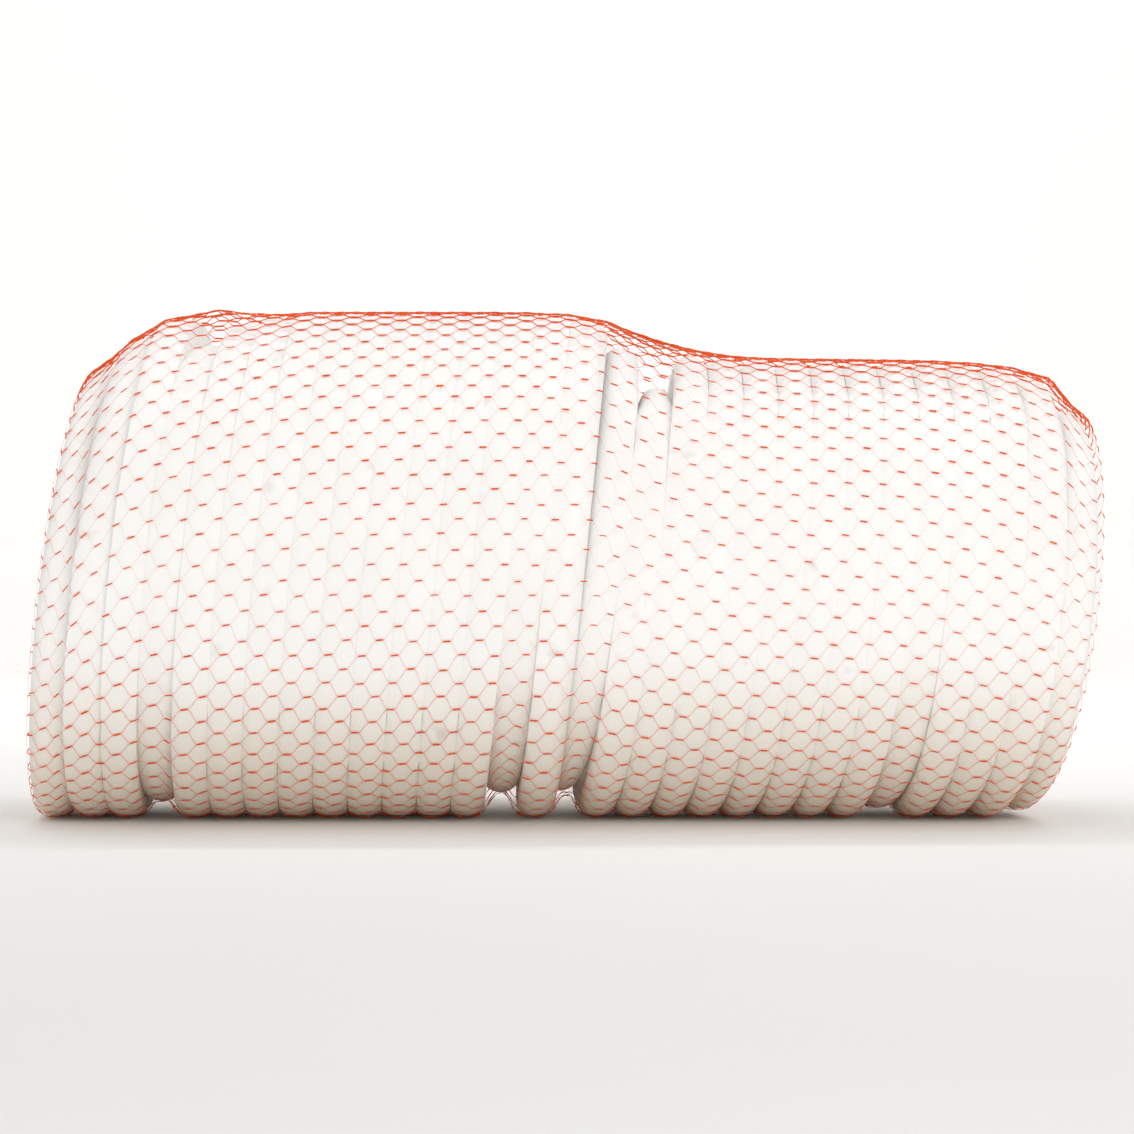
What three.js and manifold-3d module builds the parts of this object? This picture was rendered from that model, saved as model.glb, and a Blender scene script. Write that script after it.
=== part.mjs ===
// Two coils of soft foam cord that lie side by side on one axis, in a tube of knotless net.
// The net is gathered over each end and tied with a cable tie that is tucked into the coil.
// X runs along the axis of the coils, the front is towards -Y, and the floor is at z = 0.
import * as THREE from 'three';
import { mergeVertices } from 'three/addons/utils/BufferGeometryUtils.js';
import Module from 'manifold-3d';

const wasm = await Module();
wasm.setup();

const fullTurn = 2 * Math.PI;

// The cord, and how finely each turn of it is drawn
const cordDiameter = 19.6;
const cordRadius = cordDiameter / 2;
const footDepth = cordDiameter / 10;
const stepsPerTurn = 18;
const cordSides = 5;
const leftTurnGap = 1;
const rightTurnGap = 2;

// A place along a coil is counted in turns from the bottom of its first turn, and a value whose name
// ends in Turns is such a count. The top of a turn lies further along X than its bottom by the lean,
// and its front lies further along X than its middle by the bow.
const leftCoil = {
  turns: 15,
  startTurns: -2 / stepsPerTurn,
  endTurns: 14 + 11 / stepsPerTurn,
  firstX: -304.4,
  pitch: cordDiameter + leftTurnGap,
  outerGap: 4.5,
  lean: 23.4,
  leanLoss: 0,
  bow: 4,
  bowLoss: 2.2,
  endBow: 0,
  radius: 144.5,
  nearDrop: 28,
  nearDropTurns: 0.8,
  farDrop: 1.2,
  farDropTurns: 0.7,
  tightPlaces: [
    { atTurns: 3, overTurns: 0.3, depth: 10 },
    { atTurns: 3.5, overTurns: 0.18, depth: 20 },
    { atTurns: 13, overTurns: 0.2, depth: 15 },
  ],
};

// The right coil starts beside the last turn of the left one, and nests in it by a share of the cord
const leftEndX = leftCoil.firstX + leftCoil.pitch * (leftCoil.turns - 1);
const nestShare = 11 / 14;
const rightCoil = {
  turns: 14,
  startTurns: -2 / stepsPerTurn,
  endTurns: 13 + 10 / stepsPerTurn,
  firstX: leftEndX + cordDiameter * nestShare,
  pitch: cordDiameter + rightTurnGap,
  outerGap: 0,
  lean: 28.2,
  leanLoss: 10,
  bow: 5,
  bowLoss: 6,
  endBow: 7,
  radius: 130,
  nearDrop: -5,
  nearDropTurns: 2,
  farDrop: 7.3,
  farDropTurns: 1.2,
  tightPlaces: [
    { atTurns: 0, overTurns: 0.3, depth: 16 },
    { atTurns: 1.5, overTurns: 0.18, depth: 19 },
    { atTurns: 9, overTurns: 0.2, depth: 6 },
  ],
};
const endBowBeforeTurns = 0.6;
const endBowTurns = 0.5;

// The net: its cells, its strands and its fused joints
const cellsRound = 12;
const leftSpans = 5;
const rightSpans = 4;
const firstJointShare = 0.25;
const netThickness = 1.6;
const strandWidth = 2.6;
const jointLength = 11;
const jointWidth = 4.4;
const longestReachShare = 0.45;

// How the net lies on the coils: under them it has a small clearance, and round them it stands off
// far enough for its straight strands to clear the round coil
const seatGap = 0.3;
const netStandOff = 2.1;
const stepFade = 33;
const leftFaceLean = 31;
const leftFaceBow = 9;
const rightFaceLean = 30;
const rightFaceBow = 4;

// The gathered ends of the net
const faceRingRadius = 96;
const endRecess = 18;
const bunchRadius = 9;
const neckRadius = 5.5;
const neckLength = 9;
const tailRadius = 8.5;
const tailLength = 22;

// The cable ties
const tieWidth = 4.8;
const tieThickness = 1.4;
const tieHeadLength = 8;
const tieHeadHeight = 6;
const tieTailLength = 24;

const footLevel = netThickness + seatGap;
const overCoil = cordRadius + netThickness + netStandOff;
const cell = fullTurn / cellsRound;

function fade(distance, spread) {
  return Math.exp(-((distance / spread) ** 2));
}

function turnRadius(coil, turn) {
  const near = coil.nearDrop * Math.exp(-turn / coil.nearDropTurns);
  const far = coil.farDrop * Math.exp((turn - coil.turns + 1) / coil.farDropTurns);
  return coil.radius - near - far;
}

// A point on the middle line of the cord. A whole number of turns is a place on the floor, and the
// turn climbs at the front and comes down at the back. A tight place is drawn in towards the axis.
function cordPoint(coil, turn) {
  const angle = turn * fullTurn;
  const wide = turnRadius(coil, turn);
  const drawnIn = coil.tightPlaces.reduce((sum, place) => (
    sum + place.depth * fade(turn - place.atTurns, place.overTurns)), 0);
  const radius = wide - drawnIn;
  const lean = coil.lean - (coil.leanLoss * turn) / coil.turns;
  const endBow = coil.endBow * fade(turn - coil.turns + endBowBeforeTurns, endBowTurns);
  const bow = coil.bow - (coil.bowLoss * turn) / coil.turns + endBow;
  const shift = coil.outerGap * (1 - THREE.MathUtils.smoothstep(turn, 0.5, 1));
  const x = coil.firstX + coil.pitch * turn - shift
    + (lean * (1 - Math.cos(angle))) / 2 + bow * Math.sin(angle);
  const axisZ = footLevel - footDepth + cordRadius + wide;
  return new THREE.Vector3(x, -radius * Math.sin(angle), axisZ - radius * Math.cos(angle));
}

// The turns at which the cord has a ring of points, with one straight piece added at each end
function cordRings(coil) {
  const count = Math.round((coil.endTurns - coil.startTurns) * stepsPerTurn);
  const smallTurns = 1 / (100 * stepsPerTurn);
  const rings = [];
  for (let i = 0; i <= count; i += 1) {
    const turn = coil.startTurns + i / stepsPerTurn;
    const before = cordPoint(coil, turn - smallTurns);
    const along = cordPoint(coil, turn + smallTurns).sub(before).normalize();
    const angle = turn * fullTurn;
    const out = new THREE.Vector3(0, -Math.sin(angle), -Math.cos(angle));
    out.addScaledVector(along, -out.dot(along)).normalize();
    rings.push({ place: cordPoint(coil, turn), along, out });
  }
  const first = rings[0];
  const last = rings[rings.length - 1];
  const beyond = (ring, length) => ring.place.clone().addScaledVector(ring.along, length);
  rings.unshift({ ...first, place: beyond(first, -cordDiameter) });
  rings.push({ ...last, place: beyond(last, cordDiameter) });
  return rings;
}

function geometryOf(positions, index) {
  const geometry = new THREE.BufferGeometry();
  geometry.setAttribute('position', new THREE.Float32BufferAttribute(positions, 3));
  geometry.setIndex(index);
  return geometry;
}

// A closed tube through the rings, flat at both ends
function tubeThrough(rings) {
  const positions = [];
  const index = [];
  for (const ring of rings) {
    const across = new THREE.Vector3().crossVectors(ring.along, ring.out);
    for (let side = 0; side < cordSides; side += 1) {
      const angle = (side / cordSides) * fullTurn;
      const point = ring.place.clone()
        .addScaledVector(ring.out, cordRadius * Math.cos(angle))
        .addScaledVector(across, cordRadius * Math.sin(angle));
      positions.push(point.x, point.y, point.z);
    }
  }
  for (let ring = 0; ring < rings.length - 1; ring += 1) {
    for (let side = 0; side < cordSides; side += 1) {
      const a = ring * cordSides + side;
      const b = ring * cordSides + ((side + 1) % cordSides);
      index.push(a, b, b + cordSides, a, b + cordSides, a + cordSides);
    }
  }
  const lastRing = (rings.length - 1) * cordSides;
  for (let side = 1; side < cordSides - 1; side += 1) {
    index.push(0, side + 1, side, lastRing, lastRing + side, lastRing + side + 1);
  }
  return geometryOf(positions, index);
}

function solidOf(geometry) {
  const bare = geometry.clone();
  bare.deleteAttribute('normal');
  bare.deleteAttribute('uv');
  const merged = mergeVertices(bare);
  const vertProperties = new Float32Array(merged.attributes.position.array);
  const triVerts = new Uint32Array(merged.index.array);
  return new wasm.Manifold(new wasm.Mesh({ numProp: 3, vertProperties, triVerts }));
}

function geometryFromSolid(solid) {
  const mesh = solid.getMesh();
  return geometryOf(Array.from(mesh.vertProperties), Array.from(mesh.triVerts));
}

// The coil stands on flats that are cut level across the bottoms of its turns
function cutFoot(geometry) {
  geometry.computeBoundingBox();
  const size = geometry.boundingBox.getSize(new THREE.Vector3()).addScalar(cordDiameter);
  const centre = geometry.boundingBox.getCenter(new THREE.Vector3());
  const block = new THREE.BoxGeometry(size.x, size.y, size.z);
  block.translate(centre.x, centre.y, footLevel - size.z / 2);
  return geometryFromSolid(solidOf(geometry).subtract(solidOf(block)));
}

// The least gap between the surfaces of turns, from points on the middle line to the pieces of line
// between such points. Within one coil they lie over a quarter turn apart.
function leastGap(coil, other) {
  const samplesPerTurn = 48;
  const samples = (one) => {
    const points = [];
    for (let i = one.startTurns * samplesPerTurn; i <= one.endTurns * samplesPerTurn; i += 1) {
      const turn = i / samplesPerTurn;
      points.push({ turn, place: cordPoint(one, turn) });
    }
    return points;
  };
  const others = samples(other);
  const nearest = new THREE.Vector3();
  let least = Infinity;
  for (const here of samples(coil)) {
    for (let i = 0; i < others.length - 1; i += 1) {
      if (coil !== other || Math.abs(here.turn - others[i].turn) > 0.25) {
        const line = new THREE.Line3(others[i].place, others[i + 1].place);
        line.closestPointToPoint(here.place, true, nearest);
        least = Math.min(least, nearest.distanceTo(here.place));
      }
    }
  }
  return least - cordDiameter;
}

console.log(`least gap of the left coil to itself ${leastGap(leftCoil, leftCoil).toFixed(2)} mm`);
console.log(`least gap of the right coil to itself ${leastGap(rightCoil, rightCoil).toFixed(2)} mm`);
console.log(`least gap between the coils ${leastGap(leftCoil, rightCoil).toFixed(2)} mm`);

// The places along X, at the bottom, of the outermost turns and of the step between the coils
const leftRimX = leftCoil.firstX - leftCoil.outerGap;
const rightRimX = rightCoil.firstX + rightCoil.pitch * (rightCoil.turns - 1);
const stepX = leftEndX + cordDiameter;

// The radius of the net's outside. On the left it follows the tops of the turns, and past the step it
// falls to the smaller coil.
function sleeveRadius(bottomX) {
  const leftTurn = (bottomX - leftCoil.firstX) / leftCoil.pitch;
  const rightTurn = (bottomX - rightCoil.firstX) / rightCoil.pitch;
  if (bottomX <= stepX) {
    const topTurn = THREE.MathUtils.clamp(leftTurn + 0.5, 0.5, leftCoil.turns - 2);
    return turnRadius(leftCoil, topTurn) + overCoil;
  }
  const stepHeight = leftCoil.radius - turnRadius(rightCoil, 0);
  const left = stepHeight * Math.exp((stepX - bottomX) / stepFade);
  return turnRadius(rightCoil, rightTurn) + left + overCoil;
}

// A station is a ring of the net. It has the X of its bottom, a lean and a bow like those of a turn,
// the radius of the ring and that of the sleeve there, and the share of a quarter turn by which its
// outside faces along X instead of outwards, below zero to the left.
function sleeveStation(bottomX) {
  const along = THREE.MathUtils.inverseLerp(leftRimX, rightRimX, bottomX);
  const radius = sleeveRadius(bottomX);
  return {
    x: bottomX,
    lean: THREE.MathUtils.lerp(leftFaceLean, rightFaceLean, along),
    bow: THREE.MathUtils.lerp(leftFaceBow, rightFaceBow, along),
    radius,
    sleeve: radius,
    facingShare: 0,
  };
}

// The stations of one end. Two make the chamfer over the outer turn, one lies on the flat face, and
// one is the edge of the bunch in its middle.
function endStations(side) {
  const rim = sleeveStation(side < 0 ? leftRimX : rightRimX);
  const shoulder = cordRadius * (Math.SQRT2 - 1);
  const faceX = rim.x + side * overCoil;
  const outer = { ...rim, x: rim.x + side * shoulder, facingShare: side / 4 };
  const innerRadius = rim.radius - cordRadius + shoulder;
  const inner = { ...rim, x: faceX, radius: innerRadius, facingShare: (side * 3) / 4 };
  const face = { ...rim, x: faceX, radius: faceRingRadius, facingShare: side };
  const edge = { ...face, x: faceX - side * endRecess, radius: bunchRadius };
  return { outer, inner, face, edge };
}

function blendStations(from, to, share) {
  const blended = {};
  for (const key of Object.keys(from)) {
    blended[key] = THREE.MathUtils.lerp(from[key], to[key], share);
  }
  return blended;
}

// The place on a station's ring at an angle, a depth under the outside of the net. The outside never
// goes below the floor, and the inside never below the thickness of the net.
function netPoint(station, angle, depth) {
  const facing = station.facingShare * (Math.PI / 2);
  const radius = station.radius - depth * Math.cos(facing);
  const widthShare = station.radius / station.sleeve;
  const x = station.x - depth * Math.sin(facing)
    + (station.lean * (1 - widthShare * Math.cos(angle))) / 2
    + station.bow * widthShare * Math.sin(angle);
  const axisZ = footLevel - footDepth + cordRadius + station.sleeve - overCoil;
  const z = Math.max(axisZ - radius * Math.cos(angle), depth);
  return new THREE.Vector3(x, -radius * Math.sin(angle), z);
}

function netCentre(station, inward) {
  const side = Math.sign(station.facingShare);
  return netPoint({ ...station, radius: 0, x: station.x - side * inward }, 0, 0);
}

// The middles of the joints over the coils: one on the turn next to each end, one on the step, and
// the rest spread evenly between them
function sleeveJointPlaces() {
  const nearLeft = leftCoil.firstX + leftCoil.pitch;
  const nearRight = rightRimX - rightCoil.pitch;
  const onStep = stepX - cordRadius;
  const places = [nearLeft];
  for (let span = 1; span <= leftSpans; span += 1) {
    places.push(THREE.MathUtils.lerp(nearLeft, onStep, span / leftSpans));
  }
  for (let span = 1; span <= rightSpans; span += 1) {
    places.push(THREE.MathUtils.lerp(onStep, nearRight, span / rightSpans));
  }
  return places;
}

// The columns of joints, each with the stations of its left and right ends
function netColumns() {
  const left = endStations(-1);
  const right = endStations(1);
  const columns = [[left.edge, left.face], [left.inner, left.outer]];
  for (const middle of sleeveJointPlaces()) {
    const half = jointLength / 2;
    columns.push([sleeveStation(middle - half), sleeveStation(middle + half)]);
  }
  columns.push([right.outer, right.inner], [right.face, right.edge]);
  return columns;
}

// Joints of neighbouring columns lie half a cell apart, and none lies straight under the axis
function jointAngle(column, i) {
  return cell * (i + firstJointShare + (column % 2) / 2);
}

function newSurface() {
  const positions = [];
  const index = [];
  const add = (point) => positions.push(point.x, point.y, point.z) / 3 - 1;
  const face = (...corners) => {
    for (let i = 1; i < corners.length - 1; i += 1) {
      index.push(corners[0], corners[i], corners[i + 1]);
    }
  };
  return { add, face, geometry: () => geometryOf(positions, index) };
}

// The end of a joint, where three strands meet: a flat triangle outside, over a ridge point inside.
// The end is 0 at the left of the joint and 1 at its right.
function netJunction(surface, columns, column, i, end) {
  const own = columns[column][end];
  const mate = columns[column][1 - end];
  const next = end === 0 ? columns[column - 1][1] : columns[column + 1][0];
  const angle = jointAngle(column, i);
  const towards = (station, length) => {
    const distance = Math.hypot(station.x - own.x, station.radius - own.radius);
    return blendStations(own, station, Math.min(longestReachShare, length / distance));
  };
  const back = towards(mate, strandWidth / 2);
  const half = jointWidth / 2 / own.radius;
  const up = surface.add(netPoint(back, angle + half, 0));
  const low = surface.add(netPoint(back, angle - half, 0));
  const ahead = surface.add(netPoint(towards(next, strandWidth), angle, 0));
  const corners = end === 0 ? [up, ahead, low] : [up, low, ahead];
  surface.face(...corners);
  const sides = corners.map((corner, slot) => [corner, corners[(slot + 2) % 3]]);
  return { ridge: surface.add(netPoint(own, angle, netThickness)), sides };
}

// A strand from one junction to another has a flat outside and two sides that meet in a ridge
function netStrand(surface, from, fromSide, to, toSide) {
  const [fromLeft, fromRight] = from.sides[fromSide];
  const [toRight, toLeft] = to.sides[toSide];
  surface.face(fromLeft, fromRight, toRight, toLeft);
  surface.face(toRight, fromRight, from.ridge, to.ridge);
  surface.face(fromLeft, toLeft, to.ridge, from.ridge);
}

// The gathered bunch that closes one end of the net, with its neck and its tail inside the coil. It
// gives back the junctions to which the innermost strands run.
function netBunch(surface, station, column) {
  const side = Math.sign(station.facingShare);
  const ring = (radius, inward, stagger) => Array.from({ length: cellsRound }, (_, i) => {
    const here = { ...station, radius, x: station.x - side * inward };
    return surface.add(netPoint(here, jointAngle(column, i) + stagger, 0));
  });
  const face = (...corners) => surface.face(...(side < 0 ? corners : corners.reverse()));
  const neckStart = netThickness * 2;
  const neckEnd = neckStart + neckLength;
  const between = ring(bunchRadius, 0, cell / 2);
  const seats = ring(bunchRadius, netThickness, 0);
  const rings = [
    seats,
    ring(neckRadius, neckStart, 0),
    ring(neckRadius, neckEnd, 0),
    ring(tailRadius, neckEnd + tailLength, 0),
  ];
  const middle = surface.add(netCentre(station, 0));
  const tip = surface.add(netCentre(station, neckEnd + tailLength));
  return seats.map((seat, i) => {
    const next = (i + 1) % cellsRound;
    const previous = (i + cellsRound - 1) % cellsRound;
    face(between[previous], between[i], middle);
    face(between[i], seat, seats[next]);
    for (let step = 0; step < rings.length - 1; step += 1) {
      const outer = rings[step];
      const inner = rings[step + 1];
      face(outer[next], outer[i], inner[i], inner[next]);
    }
    const tail = rings[rings.length - 1];
    face(tail[next], tail[i], tip);
    const low = between[previous];
    const high = between[i];
    return { ridge: seat, sides: [side < 0 ? [high, low] : [low, high]] };
  });
}

// The net is one closed body of joints, which run along X, and of the strands between them
function netGeometry() {
  const surface = newSurface();
  const columns = netColumns();
  const last = columns.length - 1;
  const wrap = (i) => (i + cellsRound) % cellsRound;
  const junctions = columns.map((_, column) => [0, 1].map((end) => {
    if (column === 0 && end === 0) {
      return netBunch(surface, columns[0][0], column);
    }
    if (column === last && end === 1) {
      return netBunch(surface, columns[last][1], column);
    }
    const around = Array.from({ length: cellsRound });
    return around.map((_unused, i) => netJunction(surface, columns, column, i, end));
  }));
  for (let column = 0; column <= last; column += 1) {
    const [lefts, rights] = junctions[column];
    for (let i = 0; i < cellsRound; i += 1) {
      netStrand(surface, lefts[i], 0, rights[i], column === last ? 0 : 1);
      if (column < last) {
        const nexts = junctions[column + 1][0];
        const upper = column % 2 ? wrap(i + 1) : i;
        netStrand(surface, rights[i], 0, nexts[upper], 2);
        netStrand(surface, rights[i], 2, nexts[wrap(upper - 1)], 1);
      }
    }
  }
  return surface.geometry();
}

// A cable tie round the neck of a bunch: a band, a head on top of it and a cut tail
function tieGeometry(side) {
  const columns = netColumns();
  const column = side < 0 ? 0 : columns.length - 1;
  const inner = neckRadius + seatGap;
  const outer = inner + tieThickness;
  const half = tieWidth / 2;
  const outline = [[inner, -half], [outer, -half], [outer, half], [inner, half], [inner, -half]];
  const band = new THREE.LatheGeometry(outline.map((point) => new THREE.Vector2(...point)), cellsRound);
  band.rotateZ(Math.PI / 2);
  band.rotateX(-jointAngle(column, 0));
  const topZ = inner + tieThickness / 2 + tieHeadHeight / 2;
  const head = new THREE.BoxGeometry(tieWidth + tieThickness, tieHeadLength, tieHeadHeight);
  head.translate(0, 0, topZ);
  const tail = new THREE.BoxGeometry(tieWidth, tieTailLength, tieThickness);
  tail.translate(0, tieTailLength / 2, topZ);
  const whole = geometryFromSolid(solidOf(band).add(solidOf(head)).add(solidOf(tail)));
  const middle = netCentre(endStations(side).edge, netThickness * 2 + neckLength / 2);
  whole.translate(middle.x, middle.y, middle.z);
  return whole;
}

const foamLeft = new THREE.MeshStandardMaterial({ color: 0xf6f5f0, roughness: 0.75, metalness: 0 });
const netPlastic = new THREE.MeshStandardMaterial({ color: 0xe8451f, roughness: 0.45, metalness: 0 });
const tiePlastic = new THREE.MeshStandardMaterial({ color: 0xf1f0ea, roughness: 0.4, metalness: 0 });

function named(name, geometry, material) {
  const mesh = new THREE.Mesh(geometry, material);
  mesh.name = name;
  return mesh;
}

const part = new THREE.Group();
part.add(named('left_coil', cutFoot(tubeThrough(cordRings(leftCoil))), foamLeft));
part.add(named('right_coil', cutFoot(tubeThrough(cordRings(rightCoil))), foamLeft.clone()));
part.add(named('net_sleeve', netGeometry(), netPlastic));
part.add(named('left_tie', tieGeometry(-1), tiePlastic));
part.add(named('right_tie', tieGeometry(1), tiePlastic.clone()));

// The origin lies under the middle of the whole part
const middle = new THREE.Box3().setFromObject(part).getCenter(new THREE.Vector3());
for (const mesh of part.children) {
  mesh.geometry.translate(-middle.x, -middle.y, 0);
}

export default part;
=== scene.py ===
"""Two coils of soft foam cord in a tube of knotless net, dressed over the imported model."""
import math

import bpy
import numpy as np
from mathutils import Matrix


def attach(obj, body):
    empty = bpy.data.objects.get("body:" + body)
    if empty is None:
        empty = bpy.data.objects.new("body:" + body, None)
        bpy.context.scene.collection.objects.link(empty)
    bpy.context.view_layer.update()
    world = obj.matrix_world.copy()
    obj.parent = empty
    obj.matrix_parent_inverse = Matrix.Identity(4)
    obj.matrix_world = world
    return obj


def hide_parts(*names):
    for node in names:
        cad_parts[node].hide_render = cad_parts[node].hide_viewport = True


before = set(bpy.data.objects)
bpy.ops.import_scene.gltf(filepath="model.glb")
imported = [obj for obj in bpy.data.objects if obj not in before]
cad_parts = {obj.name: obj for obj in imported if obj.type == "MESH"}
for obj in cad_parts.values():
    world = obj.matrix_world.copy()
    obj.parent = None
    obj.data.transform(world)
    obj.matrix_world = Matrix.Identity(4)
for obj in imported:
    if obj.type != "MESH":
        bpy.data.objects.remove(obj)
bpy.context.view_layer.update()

MM = 0.001
FULL_TURN = 2 * math.pi

# The camera, with the size of one of the photo's pixels at the coils' axis
CAMERA_DISTANCE = 1.75
CAMERA_X = 4.85 * MM
CAMERA_Z = 153 * MM
PHOTO_WIDTH_PX = 1134
PIXEL_SIZE = 0.615 * MM
SENSOR_WIDTH_IN_MM = 36

# The cord, and the level of the flat foot on which every turn stands
CORD_DIAMETER = 19.6 * MM
CORD_RADIUS = CORD_DIAMETER / 2
FOOT_LEVEL = 1.9 * MM
FOOT_DEPTH = CORD_DIAMETER / 10
SEAT_Z = FOOT_LEVEL - FOOT_DEPTH + CORD_RADIUS

# The coils

# The route follows the formula of the part's source and most of its numbers. A place along a coil is
# counted in turns from the bottom of its first turn, and a value named in turns is such a count, so
# the first top is at TOP_TURNS. The top of a turn lies further along X than its bottom by the lean,
# and its front further than its middle by the bow. Both lose a little along the coil. The radius
# drops towards the coil's near and far end, the outer gap moves the start of the first turn away
# from the rest, and a tight place draws the cord in. The cord ends END_TURNS past the source's last
# points, and its end rings lie END_RING_TURNS from there.
ROUTE_STEP_TURNS = 1 / 18
END_TURNS = 0.022
END_RING_TURNS = np.array([0, 0.0004, 0.0012])
TOP_TURNS = 0.5
OUTER_GAP_TURNS = (0.5, 1)
END_BOW_BEFORE_TURNS = 0.6
END_BOW_TURNS = 1.5

LEFT_COIL = dict(
    turns=15,
    start_turns=-2 * ROUTE_STEP_TURNS - END_TURNS,
    end_turns=14 + 11 * ROUTE_STEP_TURNS + END_TURNS,
    first_x=-304.15 * MM,
    pitch=20.6 * MM,
    outer_gap=4.5 * MM,
    lean=23.4 * MM,
    lean_loss=0,
    bow=4 * MM,
    bow_loss=2.2 * MM,
    end_bow=0,
    radius=144.5 * MM,
    near_drop=28 * MM,
    near_drop_turns=0.9,
    far_drop=1.2 * MM,
    far_drop_turns=0.7,
    top_looseness=0,
    underside_radius=14 * MM,
    meeting_side=1,
    tight_places=[
        dict(at_turns=1.5, over_turns=0.15, depth=4.5 * MM),
        dict(at_turns=3, over_turns=0.17, depth=10 * MM),
        dict(at_turns=3.5, over_turns=0.11, depth=19 * MM),
        dict(at_turns=4.5, over_turns=0.15, depth=6 * MM),
        dict(at_turns=5.5, over_turns=0.15, depth=3 * MM),
        dict(at_turns=13, over_turns=0.16, depth=15 * MM),
    ],
)
RIGHT_COIL = dict(
    turns=14,
    start_turns=-2 * ROUTE_STEP_TURNS - END_TURNS,
    end_turns=13 + 10 * ROUTE_STEP_TURNS + END_TURNS,
    first_x=-0.35 * MM,
    pitch=21.6 * MM,
    outer_gap=0,
    lean=28.2 * MM,
    lean_loss=13 * MM,
    bow=5 * MM,
    bow_loss=6 * MM,
    end_bow=5 * MM,
    radius=130 * MM,
    near_drop=-5 * MM,
    near_drop_turns=2,
    far_drop=7.3 * MM,
    far_drop_turns=1.2,
    top_looseness=1,
    underside_radius=11.5 * MM,
    meeting_side=-1,
    tight_places=[
        dict(at_turns=0, over_turns=0.17, depth=16 * MM),
        dict(at_turns=1.5, over_turns=0.12, depth=22 * MM),
        dict(at_turns=9, over_turns=0.17, depth=6 * MM),
        dict(at_turns=13.5, over_turns=0.6, depth=9 * MM),
    ],
)

# The foam as it shows

# A turn that is pressed flat on its neighbours has sides like an ellipse that reaches far beyond
# them and is cut off where they meet. The ranges are heights on the coil, with 1 for its top and,
# for the underside, 1 for its bottom.
FOAM_STEPS_PER_TURN = 72
FOAM_SIDES = 32
FOAM_PRESSED_RADIUS = 30 * MM
FOAM_LOOSE_RADIUS = 10.5 * MM
FOAM_MEETING_RADIUS = 12 * MM
FOAM_PRESS_DEPTH = 0.2 * MM
FOAM_PRESS_BLEND = 0.05 * MM
FOAM_FLOOR = 1.25 * MM
FOAM_FLAT_BLEND = 1.2 * MM
FOAM_END_BEVEL = 1.1 * MM
FOAM_BEVEL_SHARES = (1, 0.25)
PRESS_FADE_TURNS = 0.2
LEVEL_SPREAD = 14 * MM
LOOSE_TOP_RANGE = (0.66, 0.92)
UNDERSIDE_RANGE = (0.35, 0.97)
CREASE_ANGLE = math.radians(35)

# How the net lies

# It keeps a clearance from the foam, leans and bows at each end like the turns there, falls past the
# step between the coils, is taut on the sides and sags between the turns under them, and stands up
# as a tent over a drawn-in turn. Where no turn holds it up, its support lies far below.
NET_CLEARANCE = 0.5 * MM
FACE_CLEARANCE = 0.9 * MM
NET_REACH = CORD_RADIUS + NET_CLEARANCE
NET_FLOOR = 0.5 * MM
NET_FLAT_BLEND = 0.3 * MM
OVER_COIL = 13.5 * MM
LEFT_FACE_LEAN = 33 * MM
LEFT_FACE_BOW = 5.5 * MM
RIGHT_FACE_LEAN = 29 * MM
RIGHT_FACE_BOW = 5.5 * MM
STEP_FADE = 28 * MM
CORE_LEFT_OUT_TURNS = 2
TAUT_SAG_PER_M = 2.2
SLACK_SAG_PER_M = 160.0
SLACK_RANGE = (0.4, 0.85)
TENT_RISE = 6.5 * MM
TENT_X = -242 * MM
TENT_ANGLE = 0.3
ROUNDING = 0.001 * MM
UNDERSIDE_REACH = 2.7 * MM
FAR_BELOW = -1
SLEEVE_STEPS = 760
SHOULDER_STEPS = 24
ROWS_PER_CELL = 6
PLACE_ROUNDS = 4
ANGLE_ROUNDS = 5

# Where the net's rings bend into its ends, and where the coils meet
LEFT_RIM_X = LEFT_COIL["first_x"] - LEFT_COIL["outer_gap"] - FACE_CLEARANCE
RIGHT_LAST_X = RIGHT_COIL["first_x"] + RIGHT_COIL["pitch"] * (RIGHT_COIL["turns"] - 1)
RIGHT_RIM_X = RIGHT_LAST_X + FACE_CLEARANCE
STEP_X = LEFT_COIL["first_x"] + LEFT_COIL["pitch"] * (LEFT_COIL["turns"] - 1) + CORD_DIAMETER

# The gathered ends of the net, with the main sizes of the part's source, and their pleats
END_RECESS = 18 * MM
BUNCH_RADIUS = 9 * MM
NECK_START = 3.2 * MM
NECK_RADIUS = 5.5 * MM
NECK_LENGTH = 9 * MM
NECK_FLARE_LENGTH = 5 * MM
TAIL_RADIUS = 8.5 * MM
TAIL_LENGTH = 22 * MM
TAIL_STEPS = 40
TAIL_PLEAT_SHARE = 0.3
TAIL_PLEAT_SHIFT = 0.8
FACE_STEPS = 90
FACE_DISH_POWER = 0.9
PLEATS = 9
PLEAT_DEPTH = 3.5 * MM
PLEAT_REACH = 30 * MM

# The net's cells, strands and joints

# A strand is a ribbon that stands tall over the crown, where it is seen edge on. One share narrows
# the strands from the underside up, one narrows the joints at the sides, and where the cells are
# small, strands and joints are narrower too, down to the least share.
CELLS_ROUND = 56
FULL_HALF_CELL = 8.7 * MM
COLUMN_SPACING = 10.1 * MM
COLUMN_LOSS = 0.7 * MM
COLUMN_LOSS_X = -75 * MM
COLUMN_LOSS_SPREAD = 70 * MM
RULER_STEPS = 2000
CROWN_RANGE = (0.82, 0.98)
STRAND_HALF_WIDTH = 0.13 * MM
STRAND_HALF_HEIGHT = 0.1 * MM
STRAND_TOP_HALF_HEIGHT = 0.5 * MM
STRAND_NARROWING_SHARE = 0.8
STRAND_NARROWING_RANGE = (0.2, 1)
STRAND_WIDTH_SHARES = np.array([1.6, 1.15, 0.95, 0.9, 0.95, 1.15, 1.6])
STRAND_START_SHARE = 0.8
STRAND_SIDES = 4
JOINT_LENGTH = 4.2 * MM
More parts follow.
